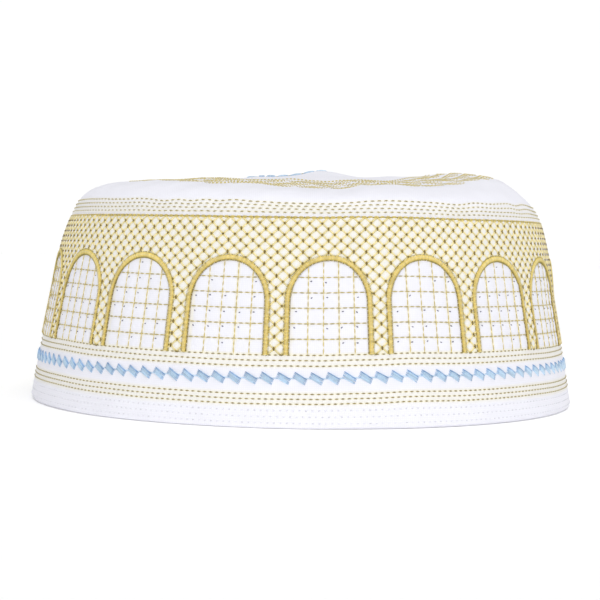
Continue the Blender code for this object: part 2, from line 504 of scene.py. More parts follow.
def net_wave(angle, travel):
    """1 in the middle of each diamond of the net and 0 where its threads cross."""
    column = (angle - NET_TURN) * NET_STEPS / 360.0
    row = (travel - ARCH_FOOT) / NET_RISE
    return 0.5 - 0.5 * np.cos(np.pi * column) * np.cos(np.pi * row)


def grid_wave(angle, travel):
    """1 in the middle of each cell of an arch's grid and 0 on its lines."""
    across = np.abs(np.sin(np.pi * (from_arch(angle) - GRID_LEFT) / GRID_TURN))
    up = np.abs(np.sin(np.pi * (travel - GRID_FOOT) / GRID_PITCH))
    return np.sqrt(across * up)


def in_net(travel):
    """Whether a travel belongs to the net and the arches."""
    return (travel > ARCH_FOOT) & (travel < SEAM_ROW)


def quilting(angle, travel):
    """How far the cloth puffs out between its stitches, or is drawn in under them."""
    puff = np.zeros_like(travel)
    for row in HEM_ROWS + GOLD_ROWS:
        puff -= (HEM_DIP if row in HEM_ROWS else GOLD_DIP) * groove(travel - row, ROW_GROOVE)
    depth = arch_depth(angle, travel)
    sewn = in_net(travel)
    in_cells = NET_PUFF[0] * net_wave(angle, travel) + NET_PUFF[1]
    puff += np.where(sewn & (depth < 0.0), in_cells, 0.0)
    in_cells = GRID_PUFF[0] * grid_wave(angle, travel) + GRID_PUFF[1]
    puff += np.where(sewn & (depth > GRID_EDGE), in_cells, 0.0)
    for row in WAVY_ROWS:
        puff -= WAVY_DIP * groove(travel - row - gather_wave(angle, row), WAVY_GROOVE)
    return puff


def gold_bounce_share(angle, travel):
    """How much painted gold light, bounced off the stitches, tints the cloth, from 0 to 1."""
    beside = np.zeros_like(travel)
    for row in GOLD_ROWS:
        beside = np.maximum(beside, ROW_SHINE * groove(travel - row, SHINE_REACH))
    for row in WAVY_ROWS:
        wavy = groove(travel - row - gather_wave(angle, row), SHINE_REACH)
        beside = np.maximum(beside, WAVY_SHINE * wavy)
    depth = arch_depth(angle, travel)
    on_grid = groove(grid_wave(angle, travel), GRID_REACH)
    beside = np.maximum(beside, np.where(depth > 0.0, GRID_SHINE * on_grid, 0.0))
    netted = in_net(travel) & (depth < 0.0)
    return np.maximum(beside, np.where(netted, NET_SHINE - net_wave(angle, travel), 0.0)).clip(0.0, 1.0)


# Objects and meshes


def link_object(name, data):
    """A new object in the scene."""
    made = bpy.data.objects.new(name, data)
    bpy.context.scene.collection.objects.link(made)
    return made


def new_mesh(name, vertices, edges, faces):
    """A mesh of points that are given in millimetres."""
    mesh = bpy.data.meshes.new(name)
    mesh.from_pydata((np.asarray(vertices).reshape(-1, 3) * MM).tolist(), edges, faces)
    mesh.update()
    return mesh


def store_values(mesh, name, kind, values):
    """Keep a value for each point of a mesh under a name."""
    layer = mesh.attributes.new(name=name, type=kind, domain="POINT")
    field = "vector" if kind == "FLOAT_VECTOR" else "value"
    layer.data.foreach_set(field, np.asarray(values, float).ravel())


def wall_mesh(name, rows, columns, upright):
    """A wall of cloth, turned round the cap from the rows of its section.

    rows holds (travel, proud) pairs, where proud is how far a row stands out of the plain
    surface: near 0 on the outside and below it on the inside. An upright wall's section is a
    closed loop and its thickness is level, and another wall's section starts and ends at the
    middle of the crown.
    """
    angles = NET_TURN + np.arange(columns) * 360.0 / columns
    travels = np.array([row[0] for row in rows])
    prouds = np.array([row[1] for row in rows])
    angle, travel = np.meshgrid(angles, travels)
    if upright:
        outward = np.clip(1.0 + prouds / HEM_FOLD, 0.0, 1.0)[:, None]
        near_rim = np.clip(1.0 - travel / HEM_REACH, 0.0, 1.0)
        near_seam = np.clip((SEAM_HEIGHT - travel) / DRIFT_START, 0.0, 1.0)
        strayed = drift(angle, travel) * near_seam * (1.0 - near_rim)
        travel = travel + (eased(angle, HEM_RISE, "rise") * near_rim + strayed) * outward
    level = travel - drift(angle, travel)
    normals = cap_normals(angle, travel)
    if upright:
        normals[..., 2] = 0.0
        normals /= np.linalg.norm(normals, axis=-1, keepdims=True)
    outside = (prouds > OUTSIDE)[:, None]
    puff = np.where(outside, quilting(angle, level), 0.0)
    points = cap_points(angle, travel) + normals * (prouds[:, None] + puff)[..., None]
    points[..., 2] = np.maximum(points[..., 2], 0.0)
    lanes = len(rows) if upright else len(rows) - 1
    row, column = np.divmod(np.arange(lanes * columns), columns)
    above = (row + 1) % len(rows)
    beside = (column + 1) % columns
    low, high = row * columns, above * columns
    faces = np.stack((low + column, low + beside, high + beside, high + column), axis=1)
    mesh = new_mesh(name, points, [], faces.tolist())
    # Painted gold light that the stitches bounce onto the outside of the cloth
    store_values(mesh, "gold_bounce", "FLOAT", np.where(outside, gold_bounce_share(angle, level), 0.0))
    step = math.tau / columns
    left = np.radians(NET_TURN) + column * step
    corner_angle = np.stack((left, left + step, left + step, left), axis=1)
    corner_travel = np.stack((travels[row], travels[row], travels[above], travels[above]), axis=1)
    layer = mesh.uv_layers.new(name="cloth")
    layer.data.foreach_set("uv", (cloth_place(corner_angle, corner_travel, upright) * MM).ravel())
    if not upright:
        close_middle(mesh, columns, len(rows))
    mesh.shade_smooth()
    mesh.set_sharp_from_angle(angle=CREASE_ANGLE)
    return mesh


def cloth_place(turn, travel, upright):
    """Place in the flat cloth: round and up the band, or across the crown's disc."""
    if upright:
        return np.stack((turn * (RIM_RADIUS + SEAM_RADIUS) / 2.0, travel), axis=-1)
    distance = CROWN_END - travel
    return np.stack((distance * np.sin(turn), -distance * np.cos(turn)), axis=-1)


def close_middle(mesh, columns, rows):
    """Weld the first and the last ring of the crown's mesh, each to one point."""
    work = bmesh.new()
    work.from_mesh(mesh)
    work.verts.ensure_lookup_table()
    rings = [work.verts[start : start + columns] for start in (0, (rows - 1) * columns)]
    for ring in rings:
        middle = sum((vertex.co for vertex in ring), Vector()) / columns
        bmesh.ops.pointmerge(work, verts=ring, merge_co=middle)
    work.to_mesh(mesh)
    work.free()


def off_centre(angle, distance, shift):
    """Angle and travel of a place that is given from the middle of rings on the crown."""
    turn = np.radians(angle)
    x = distance * np.sin(turn) + shift[0]
    y = -distance * np.cos(turn) + shift[1]
    return np.degrees(np.arctan2(x, -y)), CROWN_END - np.hypot(x, y)


def guide_mesh(name, lines):
    """Paths for stitches, each line being its angles, its travels and whether it closes.

    The mesh keeps the direction out of the cloth at each point.
    """
    vertices, outs, edges = [], [], []
    start = 0
    for angle, level, closed in lines:
        travel = level + drift(angle, level)
        points = cap_points(angle, travel)
        count = len(points)
        vertices.append(points)
        outs.append(cap_normals(angle, travel))
        edges += [(start + step, start + step + 1) for step in range(count - 1)]
        if closed:
            edges.append((start + count - 1, start))
        start += count
    mesh = new_mesh(name, np.concatenate(vertices), edges, [])
    store_values(mesh, "out", "FLOAT_VECTOR", np.concatenate(outs))
    return mesh


def single_stitches(name, starts, ends):
    """A guide whose every edge is one stitch, between (angle, travel) rows of starts and ends."""
    angle, level = np.stack((starts, ends), axis=1).reshape(-1, 2).T
    travel = level + drift(angle, level)
    edges = [(2 * step, 2 * step + 1) for step in range(len(starts))]
    mesh = new_mesh(name, cap_points(angle, travel), edges, [])
    store_values(mesh, "out", "FLOAT_VECTOR", cap_normals(angle, travel))
    return mesh


def ring_line(travel, wave=None):
    """A level line right round the cap, which wave may move up."""
    angle = travel + np.arange(PATH_STEPS) * 360.0 / PATH_STEPS  # so that rows' stitches don't line up
    travels = np.full(PATH_STEPS, float(travel))
    if wave:
        travels = travels + wave(angle, travels)
    return angle, travels, True


# Node trees


def set_inputs(node, inputs):
    """Link or set a node's inputs, given under their names or numbers, or else in order."""
    pairs = inputs.items() if isinstance(inputs, dict) else enumerate(inputs)
    for key, value in pairs:
        if isinstance(value, bpy.types.Node):
            value = value.outputs[0]
        if isinstance(value, bpy.types.NodeSocket):
            node.id_data.links.new(value, node.inputs[key])
        else:
            node.inputs[key].default_value = value


def add_node(tree, kind, inputs=(), **settings):
    """Add a node with its settings and its inputs."""
    node = tree.nodes.new(kind)
    for name, value in settings.items():
        setattr(node, name, value)
    set_inputs(node, inputs)
    return node


STITCH_INPUTS = {
    "Geometry": ("Geometry",),
    "Float": ("Pitch", "Stitch Length", "Thread Width", "Thread Height", "Turn", "Jitter"),
    "Int": ("Segments", "Sides", "Seed"),
    "Material": ("Material",),
}


def add_unit_stitch(tree, segments, sides):
    """Nodes of one stitch, 1 long, wide and high, that bows up and dives into the cloth."""
    reach = {"Start": (-0.5, 0.0, 0.0), "End": (0.5, 0.0, 0.0)}
    line = add_node(tree, "GeometryNodeCurvePrimitiveLine", reach)
    count = add_node(tree, "ShaderNodeMath", (segments, 1.0), operation="ADD")
    even = add_node(tree, "GeometryNodeResampleCurve", {0: line, 2: count})
    place = add_node(tree, "ShaderNodeSeparateXYZ", [add_node(tree, "GeometryNodeInputPosition")])
    twice = add_node(tree, "ShaderNodeMath", (place, 2.0), operation="MULTIPLY")
    end = add_node(tree, "ShaderNodeMath", [twice], operation="ABSOLUTE")
    square = add_node(tree, "ShaderNodeMath", (end, end), operation="MULTIPLY")
    bend = (square, -STITCH_DIVE, STITCH_CREST)
    height = add_node(tree, "ShaderNodeMath", bend, operation="MULTIPLY_ADD")
    bent = add_node(tree, "ShaderNodeCombineXYZ", {0: place, 2: height})
    bow = add_node(tree, "GeometryNodeSetPosition", {"Geometry": even, "Position": bent})
    fourth = add_node(tree, "ShaderNodeMath", (square, square), operation="MULTIPLY")
    taper = add_node(tree, "ShaderNodeMath", (fourth, -STITCH_TAPER, 1.0), operation="MULTIPLY_ADD")
    section = add_node(tree, "GeometryNodeCurvePrimitiveCircle", {"Resolution": sides, "Radius": 0.5})
    thread = add_node(
        tree,
        "GeometryNodeCurveToMesh",
        {"Curve": bow, "Profile Curve": section, "Scale": taper, "Fill Caps": True},
    )
    ended = {"Geometry": thread, "Name": "end", "Value": end}
    return add_node(tree, "GeometryNodeStoreNamedAttribute", ended)


def stitch_tree():
    """Tree that sews a stitch on every edge of a guide, or at every pitch along its lines."""
    tree = bpy.data.node_groups.new("stitches", "GeometryNodeTree")
    for kind, names in STITCH_INPUTS.items():
        for name in names:
            tree.interface.new_socket(name, in_out="INPUT", socket_type="NodeSocket" + kind)
    tree.interface.new_socket("Geometry", in_out="OUTPUT", socket_type="NodeSocketGeometry")
    given = add_node(tree, "NodeGroupInput").outputs
    stitch = add_unit_stitch(tree, given["Segments"], given["Sides"])

    curve = add_node(tree, "GeometryNodeMeshToCurve", {0: given["Geometry"]})
    even = add_node(tree, "GeometryNodeResampleCurve", {0: curve, 3: given["Pitch"]}, mode="LENGTH")
    spaced = add_node(tree, "GeometryNodeCurveToMesh", {0: even})
    paced = add_node(tree, "ShaderNodeMath", (given["Pitch"], 0.0), operation="GREATER_THAN")
    paths = {"Switch": paced, "False": given["Geometry"], "True": spaced}
    path = add_node(tree, "GeometryNodeSwitch", paths)
    ends = add_node(tree, "GeometryNodeInputMeshEdgeVertices").outputs
    ends = (ends["Position 2"], ends["Position 1"])
    span = add_node(tree, "ShaderNodeVectorMath", ends, operation="SUBTRACT")
    out = add_node(tree, "GeometryNodeInputNamedAttribute", {"Name": "out"}, data_type="FLOAT_VECTOR")
    kept = add_node(tree, "GeometryNodeCaptureAttribute", {0: path}, domain="EDGE")
    kept.capture_items.new("VECTOR", "span")
    kept.capture_items.new("VECTOR", "out")
    tree.links.new(span.outputs[0], kept.inputs[1])
    tree.links.new(out.outputs[0], kept.inputs[2])
    points = add_node(tree, "GeometryNodeMeshToPoints", {0: kept}, mode="EDGES")

    least = add_node(tree, "ShaderNodeMath", (given["Jitter"], -1.0), operation="MULTIPLY")
    spread = add_node(tree, "FunctionNodeRandomValue", {2: least, 3: given["Jitter"], 8: given["Seed"]})
    angle = add_node(tree, "ShaderNodeMath", (given["Turn"], spread.outputs[1]), operation="ADD")
    turned = {"Vector": kept.outputs[1], "Axis": kept.outputs[2], "Angle": angle}
    across = add_node(tree, "ShaderNodeVectorRotate", turned)
    rotation = add_node(tree, "FunctionNodeAxesToRotation", (kept.outputs[2], across))
    length = add_node(tree, "ShaderNodeVectorMath", [kept.outputs[1]], operation="LENGTH").outputs["Value"]
    fixed = add_node(tree, "ShaderNodeMath", (given["Stitch Length"], 0.0), operation="GREATER_THAN")
    lengths = {"Switch": fixed, "False": length, "True": given["Stitch Length"]}
    run = add_node(tree, "GeometryNodeSwitch", lengths, input_type="FLOAT")
    scale = add_node(tree, "ShaderNodeCombineXYZ", (run, given["Thread Width"], given["Thread Height"]))
    placed = {"Points": points, "Instance": stitch, "Rotation": rotation, "Scale": scale}
    sewn = add_node(tree, "GeometryNodeInstanceOnPoints", placed)
    seed = add_node(tree, "ShaderNodeMath", (given["Seed"], 1.0), operation="ADD")
    tone = add_node(tree, "FunctionNodeRandomValue", {8: seed})
    tones = {"Geometry": sewn, "Name": "tone", "Value": tone.outputs[1]}
    toned = add_node(tree, "GeometryNodeStoreNamedAttribute", tones, domain="INSTANCE")
    real = add_node(tree, "GeometryNodeRealizeInstances", {0: toned})
    smooth = add_node(tree, "GeometryNodeSetShadeSmooth", {0: real})
    coloured = {"Geometry": smooth, "Material": given["Material"]}
    finished = add_node(tree, "GeometryNodeSetMaterial", coloured)
    add_node(tree, "NodeGroupOutput", {0: finished})
    return tree


def sew(name, guide, slot, kind, width, height, **values):
    """Sew a guide's stitches with the node tree and leave them as one plain mesh.

    kind names the thread, whose width and height over the cloth are in metres. The values are
    for the tree's other inputs.
    """
    tree = bpy.data.node_groups.get("stitches") or stitch_tree()
    seed = bpy.context.scene.cap_stitches.seed
    given = {"Segments": 3, "Sides": 4, "Jitter": STITCH_JITTER, "Seed": seed}
    given |= {"Thread Width": width, "Thread Height": height, "Material": thread_material(kind)}
    given |= {key.replace("_", " ").title(): value for key, value in values.items()}
    piece = link_object(name, guide)
    modifier = piece.modifiers.new("stitches", "NODES")
    modifier.node_group = tree
    for item in tree.interface.items_tree:
        if item.name in given and item.in_out == "INPUT":
            modifier[item.identifier] = given[item.name]
    graph = bpy.context.evaluated_depsgraph_get()
    mesh = bpy.data.meshes.new_from_object(piece.evaluated_get(graph))
    piece.modifiers.clear()
    piece.data = mesh
    mesh.name = name
    if not mesh.polygons:
        raise RuntimeError(f"{name} has no stitches")
    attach(piece, "root")
    return piece


def sew_lines(name, lines, slot, kind, **values):
    """Sew stitches along lines, a pitch apart."""
    return sew(name, guide_mesh(name, lines), slot, kind, **values)


def sew_each(name, starts, ends, slot, kind, **values):
    """Sew one stitch from each start to its end."""
    return sew(name, single_stitches(name, starts, ends), slot, kind, **values)


# Materials


def new_material(name):
    """A material with an empty tree apart from its shader, which is returned with the tree."""
    material = bpy.data.materials.new(name)
    material.use_nodes = True
    tree = material.node_tree
    return material, tree, tree.nodes["Principled BSDF"]


def cotton_cloth(name):
    """Bleached cotton poplin in several starched layers: matt, bright, with a soft edge sheen."""
    colours = bpy.context.scene.cap_colours
    material, tree, shader = new_material(name)
    place = add_node(tree, "ShaderNodeUVMap", uv_map="cloth")
    # The bands of a wave texture lie pi / 10 apart at a scale of 1
    yarn = math.pi / (10.0 * YARN_PITCH * MM)
    yarns = {"Vector": place, "Scale": yarn}
    warp = add_node(tree, "ShaderNodeTexWave", yarns, bands_direction="X").outputs["Fac"]
    weft = add_node(tree, "ShaderNodeTexWave", yarns, bands_direction="Y").outputs["Fac"]
    weave = add_node(tree, "ShaderNodeMath", (warp, weft), operation="MULTIPLY")
    unevenness = {"Vector": place, "Scale": 1.0 / (LIE_SIZE * MM), "Detail": 3.0}
    lie = add_node(tree, "ShaderNodeTexNoise", unevenness).outputs["Fac"]
    # Painted light: the cloth beside the gold stitches takes on the gold that they bounce onto it
    gold_shine = add_node(tree, "ShaderNodeAttribute", attribute_name="gold_bounce").outputs["Fac"]
    bounce_strength = add_node(tree, "ShaderNodeMath", (gold_shine, 0.75), operation="MULTIPLY")
    bounce_mix = {0: bounce_strength, 6: tuple(colours.cotton), 7: tuple(colours.gold_bounce)}
    base = add_node(tree, "ShaderNodeMix", bounce_mix, data_type="RGBA").outputs[2]
    mottled = add_node(tree, "ShaderNodeMapRange", (lie, 0.3, 0.7, 0.97, 1.0))
    yarned = add_node(tree, "ShaderNodeMapRange", (weave, 0.0, 0.6, 0.965, 1.0))
    value = add_node(tree, "ShaderNodeMath", (mottled, yarned), operation="MULTIPLY")
    fold = add_node(tree, "ShaderNodeBump", {"Height": lie, "Strength": 0.35, "Distance": 0.8 * MM})
    relief = {"Height": weave, "Normal": fold, "Strength": 0.4, "Distance": 0.06 * MM}
    looks = {
        "Base Color": add_node(tree, "ShaderNodeVectorMath", {0: base, 3: value}, operation="SCALE"),
        "Normal": add_node(tree, "ShaderNodeBump", relief),
        "Roughness": 0.88,
        "Specular IOR Level": 0.25,
        "Sheen Weight": 0.12,
        "Sheen Roughness": 0.5,
    }
    set_inputs(shader, looks)
    return material


def spun_thread(name, stops, roughness):
    """Twisted embroidery thread: a soft sheen, and painted shade where it dives into the cloth.

    stops are the colours from the middle of a stitch, 0, to its ends, 1.
    """
    material, tree, shader = new_material(name)
    end = add_node(tree, "ShaderNodeAttribute", attribute_name="end").outputs["Fac"]
    tone = add_node(tree, "ShaderNodeAttribute", attribute_name="tone").outputs["Fac"]
    ramp = add_node(tree, "ShaderNodeValToRGB", [end])
    colours = ramp.color_ramp.elements
    colours.remove(colours[1])
    colours[0].position, colours[0].color = stops[0]
    for position, colour in stops[1:]:
        colours.new(position).color = colour
    place = add_node(tree, "ShaderNodeTexCoord").outputs["Object"]
    twist = {"Vector": place, "Scale": 1.0 / (PLY_PITCH * MM), "Detail": 1.0}
    plies = add_node(tree, "ShaderNodeTexNoise", twist).outputs["Fac"]
    grain = add_node(tree, "ShaderNodeMapRange", (plies, 0.3, 0.7, 0.93, 1.05))
    # Each stitch catches the light a little differently
    lightness = add_node(tree, "ShaderNodeMapRange", (tone, 0.0, 1.0, 0.86, 1.06))
    value = add_node(tree, "ShaderNodeMath", (lightness, grain), operation="MULTIPLY")
    relief = {"Height": plies, "Strength": 0.3, "Distance": 0.05 * MM}
    looks = {
        "Base Color": add_node(tree, "ShaderNodeVectorMath", {0: ramp, 3: value}, operation="SCALE"),
        "Normal": add_node(tree, "ShaderNodeBump", relief),
        "Roughness": roughness,
        "Sheen Weight": 0.15,
    }
    set_inputs(shader, looks)
    return material


def thread_material(kind):
    """The material of one kind of thread, made once."""
    name = f"{kind}_thread"
    if name in bpy.data.materials:
        return bpy.data.materials[name]
    colours = bpy.context.scene.cap_colours
    white, gold, pale = (tuple(c) for c in (colours.cotton, colours.gold, colours.pale_gold))
    shade_gold, brown, under = (tuple(c) for c in (colours.gold_in_shade, colours.brown, colours.under))
    blue, blue_in_shade = (tuple(c) for c in (colours.blue, colours.blue_in_shade))
    # Painted shade: the shaded gold and needle brown darken each stitch where it dives into the cloth
    stops = {
        # Painted shade: the white thread is greyed a little, and more towards its ends
        "white_cotton": ((0.0, mixed(white, under, 0.07)), (1.0, mixed(white, under, 0.16))),
        # Painted shade: the running gold stitch is darkest in its middle
        "gold_running": (
            (0.0, mixed(shade_gold, brown, 0.7)),
            (0.6, mixed(shade_gold, brown, 0.3)),
            (1.0, mixed(pale, shade_gold, 0.6)),
        ),
        "grid_level": ((0.0, mixed(shade_gold, brown, 0.5)), (0.5, shade_gold), (1.0, mixed(pale, gold, 0.5))),
        "gold_grid": ((0.0, shade_gold), (0.5, mixed(gold, shade_gold, 0.5)), (1.0, mixed(pale, gold, 0.5))),
        "faded_gold": (
            (0.0, mixed(shade_gold, brown, 0.3)),
            (0.6, mixed(pale, shade_gold, 0.8)),
            (1.0, mixed(pale, shade_gold, 0.4)),
        ),
        "scale_gold": ((0.0, mixed(shade_gold, under, 0.2)), (0.5, mixed(gold, shade_gold, 0.6)), (1.0, pale)),
        "gold_net": ((0.0, pale), (0.5, mixed(pale, gold, 0.6)), (1.0, mixed(shade_gold, brown, 0.2))),
        # Painted highlight on the satin's paler middle, and painted shade at its edges
        "gold_satin": (
            (0.0, mixed(gold, pale, 0.6)),
            (0.5, gold),
            (0.8, mixed(gold, shade_gold, 0.2)),
            (1.0, mixed(gold, shade_gold, 0.8)),
        ),
        "dark_seam": (
            (0.0, gold),
            (0.6, mixed(gold, shade_gold, 0.15)),
            (0.9, shade_gold),
            (1.0, mixed(shade_gold, brown, 0.5)),
        ),
        # Painted shade: the blue thread darkened towards its ends
        "light_blue": ((0.0, blue), (0.85, blue), (1.0, mixed(blue, blue_in_shade, 0.45))),
        # Painted shade: the top strand of each blue block, wholly in the shaded blue
        "shaded_blue": ((0.0, mixed(blue, blue_in_shade, 0.6)), (1.0, blue_in_shade)),
        # Dark knots of the net, and painted shade in the satin's needle holes
        "needle_knot": ((0.0, brown), (1.0, mixed(brown, shade_gold, 0.5))),
        "under": ((0.0, under), (1.0, under)),
    }[kind]
    roughness = 0.8 if kind in ("white_cotton", "under", "needle_knot") else 0.42
    return spun_thread(name, stops, roughness)


def mixed(first, second, share):
    """A colour between two others."""
    return tuple(a + (b - a) * share for a, b in zip(first, second))


# Pieces


def cloth_piece(name, mesh, node, slot):
    """A wall of cloth that stands for a solid."""
    piece = link_object(name, mesh)
    mesh.materials.append(cotton_cloth(slot.replace("_cloth", "_cotton")))
    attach(piece, "root")
    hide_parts(node)
    return piece


class PRAYERCAP_OT_side_band(bpy.types.Operator):
    """Make the cloth of the side band with its folded hem"""

    bl_idname = "prayercap.side_band"
    bl_label = "Side Band"

    def execute(self, context):
        outer = [*HEM_OUTSIDE] + [(travel, 0.0) for travel in row_travels()]
        outer += [(ARCH_FOOT + NET_RISE / 2.0 * step, 0.0) for step in range(1, 2 * NET_ROWS)]
        outer += [(SEAM_HEIGHT - EDGE_ROW, 0.0), (SEAM_HEIGHT, 0.0)]
        inside = np.linspace(SEAM_HEIGHT - BAND_INNER_MARGIN, BAND_INNER_MARGIN, BAND_INNER_ROWS)
        inner = [(travel, -CLOTH_THICKNESS) for travel in (SEAM_HEIGHT, *inside)]
        mesh = wall_mesh("side_band_cloth", [*outer, *inner, *HEM_INSIDE], BAND_COLUMNS, upright=True)
        cloth_piece("side_band_cloth", mesh, "side_band", "band_cloth")
        return {"FINISHED"}


def row_travels():
    """Travels of the band's mesh below the arches: on each row of stitches, beside it and between."""
    travels = list(CHAIN_LEVELS)
    for row in HEM_ROWS + GOLD_ROWS:
        travels += [row - ROW_GROOVE, row, row + ROW_GROOVE]
    return sorted(travel for travel in travels if travel <= ARCH_FOOT)


class PRAYERCAP_OT_crown(bpy.types.Operator):
    """Make the cloth of the soft crown"""

    bl_idname = "prayercap.crown"
    bl_label = "Crown"

    def execute(self, context):
        foot = SEAM_HEIGHT
        shoulder = np.linspace(SHOULDER_FOOT, SHOULDER_FOOT + SHOULDER_REACH, SHOULDER_ROWS)
        top = np.linspace(shoulder[-1], CROWN_END, TOP_ROWS)[1:]
        inside = np.linspace(CROWN_END, SHOULDER_FOOT, CROWN_INNER_ROWS)
        rows = [(travel, -CLOTH_THICKNESS) for travel in (*inside, foot)]
        rows += [(foot, 0.0), (foot + EDGE_ROW, 0.0)]
        rows += [(travel, 0.0) for travel in np.concatenate((shoulder, top))]
        mesh = wall_mesh("crown_cloth", rows, CROWN_COLUMNS, upright=False)
        cloth_piece("crown_cloth", mesh, "crown", "crown_cloth")
        return {"FINISHED"}


class PRAYERCAP_OT_rows(bpy.types.Operator):
    """Sew the white and gold rows of running stitches round the band"""

    bl_idname = "prayercap.rows"
    bl_label = "Running Rows"

    def execute(self, context):
        sizes = context.scene.cap_stitches
        sew_lines(
            "hem_rows", map(ring_line, HEM_ROWS), "band_cloth", "white_cotton",
            width=sizes.hem_thread, height=0.5 * sizes.hem_thread,
            pitch=sizes.running_pitch, stitch_length=0.6 * sizes.running_length,
        )
        sew_lines(
            "gold_rows", map(ring_line, GOLD_ROWS), "band_cloth", "gold_running",
            width=sizes.running_thread, height=0.7 * sizes.running_thread,
            pitch=sizes.running_pitch, stitch_length=sizes.running_length,
        )
        return {"FINISHED"}


class PRAYERCAP_OT_arches(bpy.types.Operator):
    """Sew the arches in satin stitch, their grids and the loose knots in the grids"""

    bl_idname = "prayercap.arches"
    bl_label = "Arches"

    def execute(self, context):
        sizes = context.scene.cap_stitches
        middles = ARCH_TURN + ARCH_PITCH * np.arange(ARCH_COUNT)
        sew_lines(
            "arch_satin", over_arches(middles, [arch_line()]), "band_cloth", "gold_satin",
            width=sizes.satin_thread, height=0.9 * MM,
            pitch=sizes.satin_pitch, stitch_length=SATIN_WIDTH * MM, turn=math.pi / 2.0, segments=4,
        )
        # Painted shade: dark stitches where the needle holes along the satin lie in shadow
        holes = [arch_line(outside) for outside in (-HOLE_SIDE, HOLE_SIDE)]
        sew_lines(
            "satin_hole_shade", over_arches(middles, holes), "band_cloth", "needle_knot",
            width=HOLE_WIDTH * MM, height=0.4 * MM,
            pitch=HOLE_SPACING * sizes.satin_pitch, stitch_length=HOLE_LENGTH * MM,
        )
        for name, lines, kind in (
            ("arch_grids", level_lines, "grid_level"),
            ("grid_uprights", upright_lines, "gold_grid"),
        ):
            sew_lines(
                name, [line for middle in middles for line in lines(middle)], "band_cloth", kind,
                width=sizes.grid_thread, height=0.8 * sizes.grid_thread,
                pitch=sizes.running_pitch, stitch_length=GRID_SHARE * sizes.running_pitch,
            )
        sew_each(
            "grid_specks", *specks(middles), "band_cloth", "under",
            width=SPECK_SIZE[1] * MM, height=0.3 * MM, jitter=math.radians(40.0),
        )
        return {"FINISHED"}


def over_arches(middles, lines):
    """Lines on every arch, each given by its angles from the arch's middle and its travels."""
    return [(middle + angle, travel, False) for middle in middles for angle, travel in lines]


def level_lines(middle):
    """The level lines of one arch's grid, each cut off at the arch's satin."""
    angle = middle + np.linspace(-ARCH_HALF, ARCH_HALF, GRID_STEPS)
    levels = [GRID_FOOT + GRID_PITCH * row for row in range(GRID_ROWS)]
    return [within_satin(angle, np.full_like(angle, level)) for level in levels]


def upright_lines(middle):
    """The upright lines of one arch's grid, each cut off at the arch's satin."""
    travel = np.linspace(ARCH_FOOT + 0.3, ARCH_TOP, GRID_STEPS)
    sides = [GRID_LEFT + column * GRID_TURN for column in range(GRID_COLUMNS)]
    return [within_satin(np.full_like(travel, middle + side), travel) for side in sides]


def within_satin(angle, travel):
    """The stretch of a line that lies inside its arch's satin."""
    inside = arch_depth(angle, travel) > GRID_MARGIN
    return angle[inside], travel[inside], False


def specks(middles):
    """Start and end of each loose knot in the grids."""
    rolls = random.Random(SPECK_SEED)
    starts, ends = [], []
    for middle in middles:
        for row in range(GRID_ROWS + 1):
            for column in range(-1, GRID_COLUMNS):
                travel = GRID_FOOT + GRID_PITCH * row + SPECK_SHIFT[1]
                travel += rolls.uniform(-SPECK_STRAY, SPECK_STRAY)
                across = SPECK_SHIFT[0] + rolls.uniform(-SPECK_STRAY, SPECK_STRAY)
                shift = degrees_across(across, travel)
                angle = middle + GRID_LEFT + column * GRID_TURN + shift
                if rolls.random() < SPECK_SHARE and arch_depth(angle, travel) > SPECK_MARGIN:
                    reach = degrees_across(SPECK_SIZE[0], travel) / 2.0
                    starts.append((angle - reach, travel))
                    ends.append((angle + reach, travel))
    return starts, ends


class PRAYERCAP_OT_net(bpy.types.Operator):
    """Sew the diamond net round the arches and the dark knots where it crosses"""

    bl_idname = "prayercap.net"
    bl_label = "Diamond Net"

    def execute(self, context):
        sizes = context.scene.cap_stitches
        sew_each(
            "diamond_net", *net_edges(), "band_cloth", "gold_net",
            width=sizes.net_thread, height=0.55 * MM, segments=4, jitter=math.radians(2.0),
        )
        sew_each(
            "net_knots", *net_knots(sizes.knot_length / MM), "band_cloth", "needle_knot",
            width=KNOT_WIDTH * MM, height=0.66 * MM, jitter=math.radians(8.0),
        )
        return {"FINISHED"}


def net_edges():
    """Start and end of each stitch of the net, cut off at the arches."""
    column, row = np.meshgrid(np.arange(NET_STEPS), np.arange(NET_ROWS))
    node = (column + row) % 2 == 0
    low = np.stack((column[node], row[node]), axis=-1).astype(float)
    starts = lattice_place(np.concatenate((low, low)))
    ends = lattice_place(np.concatenate((low + (-1.0, 1.0), low + (1.0, 1.0))))
    start_out, end_out = arch_depth(*starts.T) < 0.0, arch_depth(*ends.T) < 0.0
    turned = end_out & ~start_out
    starts[turned], ends[turned] = ends[turned].copy(), starts[turned].copy()
    kept = start_out | end_out
    starts, ends, cut = starts[kept], ends[kept], ~(start_out & end_out)[kept]
    low, high = np.zeros(len(starts)), np.ones(len(starts))
    for _ in range(CUT_HALVINGS):
        middle = (low + high) / 2.0
        place = starts + (ends - starts) * middle[:, None]
        outside = arch_depth(*place.T) < 0.0
        low, high = np.where(outside, middle, low), np.where(outside, high, middle)
    reach = np.where(cut, low, 1.0)
    ends = starts + (ends - starts) * reach[:, None]
    left = reach > SHORTEST_CUT
    return starts[left], ends[left]


def lattice_place(steps):
    """Angle and travel of places that are counted in half diamonds."""
    column, row = steps.T
    return np.stack((NET_TURN + column * 360.0 / NET_STEPS, ARCH_FOOT + row * NET_RISE), axis=-1)


